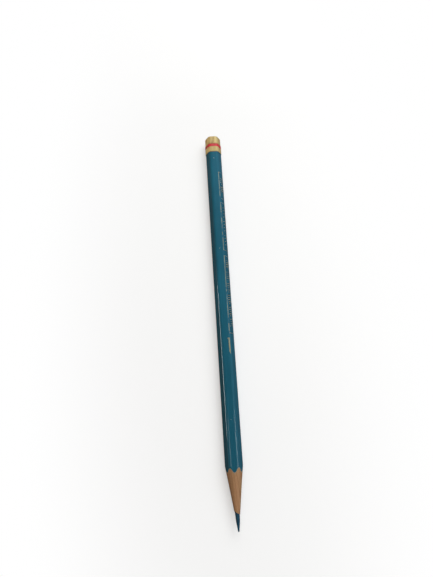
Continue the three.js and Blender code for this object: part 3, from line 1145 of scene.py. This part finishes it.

# %% Paint shade into the bead and at the mouth
# Painted shade: the brass is darkened just above the mouth, where the lip over the paint casts shade, and
# in the milled bead, where its notches hold shade.
along = add(tree, "SeparateXYZ", (place,), 1)
mouth_painted_shade = add(tree, "MapRange", (along, SKIRT_Y + 0.22 * MM, SKIRT_Y + 0.02 * MM, 0, 0.7), **SMOOTH)
above_bead = add(tree, "MapRange", (along, BEAD_Y + 0.6 * MM, BEAD_Y + 0.36 * MM, 0, 0.42), **SMOOTH)
below_bead = add(tree, "MapRange", (along, BEAD_Y - 0.05 * MM, BEAD_Y + 0.02 * MM, 0, 1), **SMOOTH)
bead_painted_shade = add(tree, "Math", (above_bead, below_bead), **TIMES)
painted_shade = add(tree, "Math", (mouth_painted_shade, bead_painted_shade), operation="MAXIMUM")
brass = add(tree, "Mix", {0: painted_shade, 6: brass, 7: colour("#5A4630")}, 2, **COLOURS)
dull = add(tree, "MapRange", (stain, 0.4, 0.75, 0.42, 0.6), **SMOOTH)
height = add(tree, "Math", (fine_lines, 0.4, lines), **TIMES_PLUS)
relief = add(tree, "Bump", {"Height": height, "Distance": 0.008 * MM})
dress(tree, shader, {"Base Color": brass, "Roughness": dull, "Normal": relief})
wear(cap, brass_finish)

# %% [markdown]
# ## Red enamel
#
# A baked enamel band: glossy, a little uneven where the wheel laid it on, with brass showing
# through in a few worn spots.

# %% Mix the enamel
enamel_finish, tree, shader, place = new_finish(
    "baked red enamel", {"IOR": 1.5, "Specular IOR Level": 0.4}
)
wheel = add(tree, "Mapping", {"Vector": place, "Scale": (1, 2, 1)})
laid_on = add(tree, "TexNoise", {"Vector": wheel, "Scale": per_mm(0.7), "Detail": 3})
laid_on = add(tree, "MapRange", (laid_on, 0.3, 0.7), **SMOOTH)
rubbed = add(tree, "Mapping", {"Vector": place, "Location": (0.2, 0.1, 0)})
worn = add(tree, "TexNoise", {"Vector": rubbed, "Scale": per_mm(0.45), "Detail": 4, "Roughness": 0.6})
bare = add(tree, "MapRange", (worn, 0.69, 0.73), **SMOOTH)
red = add(tree, "Mix", {0: laid_on, 6: colour("#AC1E27"), 7: colour("#BC272F")}, 2, **COLOURS)
red = add(tree, "Mix", {0: bare, 6: red, 7: colour("#B59A62")}, 2, **COLOURS)
dull = add(tree, "MapRange", (laid_on, 0, 1, 0.26, 0.38), **SMOOTH)
height = add(tree, "Math", (bare, -0.8, laid_on), **TIMES_PLUS)
relief = add(tree, "Bump", {"Height": height, "Distance": 0.01 * MM})
dress(tree, shader, {"Base Color": red, "Metallic": bare, "Roughness": dull, "Normal": relief})
wear(ring, enamel_finish)

# %% [markdown]
# ## Stamping foil
#
# Imitation gold foil: a thin bright film with breaks where it didn't take and where fingers
# have rubbed it off, so the teal shows through. Its gold is dulled to an olive grey, as a
# painted dark reflection.

# %% Mix the foil
foil_finish, tree, shader, place = new_finish("imitation gold stamping foil", {"Roughness": 0.34})
fingers = add(tree, "Mapping", {"Vector": place, "Scale": (1, 0.5, 1), "Location": (0.4, 0, 0.2)})
patches = add(tree, "TexNoise", {"Vector": fingers, "Scale": per_mm(1.6), "Detail": 4, "Roughness": 0.65})
pinholes = add(tree, "TexNoise", {"Vector": place, "Scale": per_mm(0.16)})
taken = add(tree, "MapRange", (patches, 0.42, 0.54), **SMOOTH)
taken = add(tree, "Math", (taken, add(tree, "MapRange", (pinholes, 0.3, 0.4), **SMOOTH)), **TIMES)
slow = add(tree, "Mapping", {"Vector": place, "Scale": (1, 0.5, 1)})
tint = add(tree, "TexNoise", {"Vector": slow, "Scale": per_mm(4)})
share = add(tree, "MapRange", (tint, 0.4, 0.6), **SMOOTH)
# Painted reflection: both golds are dulled to an olive grey. This stands in for the dark surroundings
# that bright foil would mirror.
gold = add(tree, "Mix", {0: share, 6: colour("#ABA78C"), 7: colour("#948F72")}, 2, **COLOURS)
gold = add(tree, "Mix", {0: taken, 6: colour("#1A4E60"), 7: gold}, 2, **COLOURS)
metal = add(tree, "Math", (taken, 0.9), **TIMES)
dull = add(tree, "MapRange", (patches, 0.3, 0.8, 0.24, 0.42), **SMOOTH)
relief = add(tree, "Bump", {"Height": taken, "Distance": 0.004 * MM})
dress(tree, shader, {"Base Color": gold, "Metallic": metal, "Roughness": dull, "Normal": relief})
for foil in foils:
    wear(foil, foil_finish)
print("finishes:", len(bpy.data.materials))

# %% [markdown]
# # Studio
#
# A plain pale sheet, one broad window of light beyond the capped end, and a soft lamp overhead
# and to the right, which leaves the left side of the pencil in gentle shade. Three narrow strips
# are there only to be mirrored in the upper corners of the lacquer, as long thin highlights
# over the near half, so they don't light anything else.

# %% Lay the floor
# The sheet lights the pencil as a pale grey would, and the camera sees it as white paper that
# still holds the shadow. Farther off it fades into the white of the room.
floor = start_piece("paper_floor", bpy.ops.mesh.primitive_plane_add, size=3)
floor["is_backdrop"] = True
paper_finish, tree, shader, place = new_finish(
    "matt white paper", {"Roughness": 0.9, "Specular IOR Level": 0.1}
)
seen = add(tree, "LightPath")
mirrored = add(tree, "LightPath", out=3)
tooth = add(tree, "TexNoise", {"Vector": place, "Scale": per_mm(0.8)})
along = add(tree, "SeparateXYZ", (place,), 1)
near_share = add(tree, "MapRange", (along, 0.1, -0.1))
white = add(tree, "Mix", {0: near_share, 6: colour("#D6D6D4"), 7: colour("#F8F8F6")}, 2, **COLOURS)
sheet = add(tree, "Mix", {0: tooth, 6: colour("#6E6C6A"), 7: colour("#747270")}, 2, **COLOURS)
sheet = add(tree, "Mix", {0: seen, 6: sheet, 7: white}, 2, **COLOURS)
oval = add(tree, "Mapping", {"Vector": place, "Scale": (1, 0.35, 0)})
distance = add(tree, "VectorMath", (oval,), 1, operation="LENGTH")
fade = add(tree, "MapRange", (distance, 0.02, 0.09, 0.45, 1), **SMOOTH)
glossy_share = add(tree, "Math", (mirrored, 0.05), **TIMES)
fade = add(tree, "Math", (fade, add(tree, "Math", (seen, glossy_share), operation="MAXIMUM")), **TIMES)
bright = add(tree, "Emission", ((1, 1, 1, 1), 1.0))
mixed = add(tree, "MixShader", (fade, tree.nodes["Principled BSDF"].outputs[0], bright))
tree.links.new(mixed, tree.nodes["Material Output"].inputs["Surface"])
dress(tree, shader, {"Base Color": sheet})
wear(floor, paper_finish)


# %% Hang the lamps
def lamp(name, place, target, size, watts, tint="#FFFFFF", diffuse=True, glossy=True):
    """A rectangular lamp at a place, turned to a target; it never shows in the picture."""
    data = bpy.data.lights.new(name, "AREA")
    data.shape = "RECTANGLE"
    data.size, data.size_y = size
    data.energy = watts
    data.color = colour(tint)[:3]
    made = bpy.data.objects.new(name, data)
    bpy.context.scene.collection.objects.link(made)
    made.location = place
    made.rotation_euler = (Vector(target) - Vector(place)).to_track_quat("-Z", "Y").to_euler()
    made.visible_camera = False
    made.visible_diffuse = diffuse
    made.visible_glossy = glossy


lamp("far_window", (0.11, 0.27, 0.3), (0, 0.05, 0), (0.44, 0.3), 2.1, glossy=False)
lamp("soft_overhead", (0.38, 0.14, 0.76), (0, 0.02, 0), (0.9, 0.9), 2.1, "#E4F1FF", glossy=False)
lamp("right_strip", (0.276, -0.085, 0.38), (0, -0.085, 0), (0.1, 0.034), 0.27, diffuse=False)
lamp("left_strip", (-0.44, 0.0375, 0.08), (0, 0.0375, 0), (0.2, 0.04), 0.95, diffuse=False)
lamp("left_inner_strip", (-0.124, -0.078, 0.43), (0, -0.078, 0), (0.064, 0.045), 0.13, diffuse=False)

# %% Light the room
# White behind the pencil; dim for light that strikes it; and for what the gloss mirrors, a soft
# glow from the far right, with the white of the horizon. The light from the left is a little
# warm, as off a wooden desk, and from the right a little cool, as off a window.
world = bpy.data.worlds.new("pale_room")
bpy.context.scene.world = world
world.use_nodes = True
tree = world.node_tree
sky = tree.nodes["Background"]
seen = add(tree, "LightPath")
glossy_ray = add(tree, "LightPath", out=3)
heading = add(tree, "TexCoord")
rise = add(tree, "SeparateXYZ", (heading,), 2)
towards = add(tree, "VectorMath", (heading, (0.8, 0.6, 0)), 1, operation="DOT_PRODUCT")
glow = add(tree, "MapRange", (towards, 0, 0.6, 0.22, 0.85), **SMOOTH)
horizon = add(tree, "MapRange", (rise, 0.05, 0.4, 0.95, 0.1), **SMOOTH)
glow = add(tree, "Math", (glow, horizon), operation="MAXIMUM")
strength = add(tree, "Mix", {0: glossy_ray, 2: 0.3, 3: glow})
strength = add(tree, "Math", (strength, seen), operation="MAXIMUM")
side = add(tree, "MapRange", (towards, -0.5, 0.5))
tint = add(tree, "Mix", {0: side, 6: colour("#FFE0BC"), 7: colour("#E6F2FF")}, 2, **COLOURS)
tint = add(tree, "Mix", {0: seen, 6: tint, 7: (1, 1, 1, 1)}, 2, **COLOURS)
dress(tree, sky, {"Strength": strength, "Color": tint})

# %% [markdown]
# ## Camera
#
# The camera stands above the near half of the pencil and looks down at it steeply, turned a
# few degrees, with a wide view.

# %% Place the camera
camera_data = bpy.data.cameras.new("steep_view")
camera_data.lens = 28.33
camera_data.sensor_width = 36
camera_data.clip_start = 0.01
camera_data.clip_end = 20
camera = bpy.data.objects.new("steep_view", camera_data)
bpy.context.scene.collection.objects.link(camera)
camera.location = (-0.0059, -0.0446, 0.198)
camera.rotation_euler = (math.radians(16), 0, math.radians(-3.42))
bpy.context.scene.camera = camera
bpy.context.scene.view_settings.view_transform = "Standard"

# %% Print the sizes
visual_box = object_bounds()
sizes = {"cad": [list(corner) for corner in cad_box], "visual": [list(corner) for corner in visual_box]}
for name, box in sizes.items():
    print(name, "box, mm:", [[round(value / MM, 3) for value in corner] for corner in box])
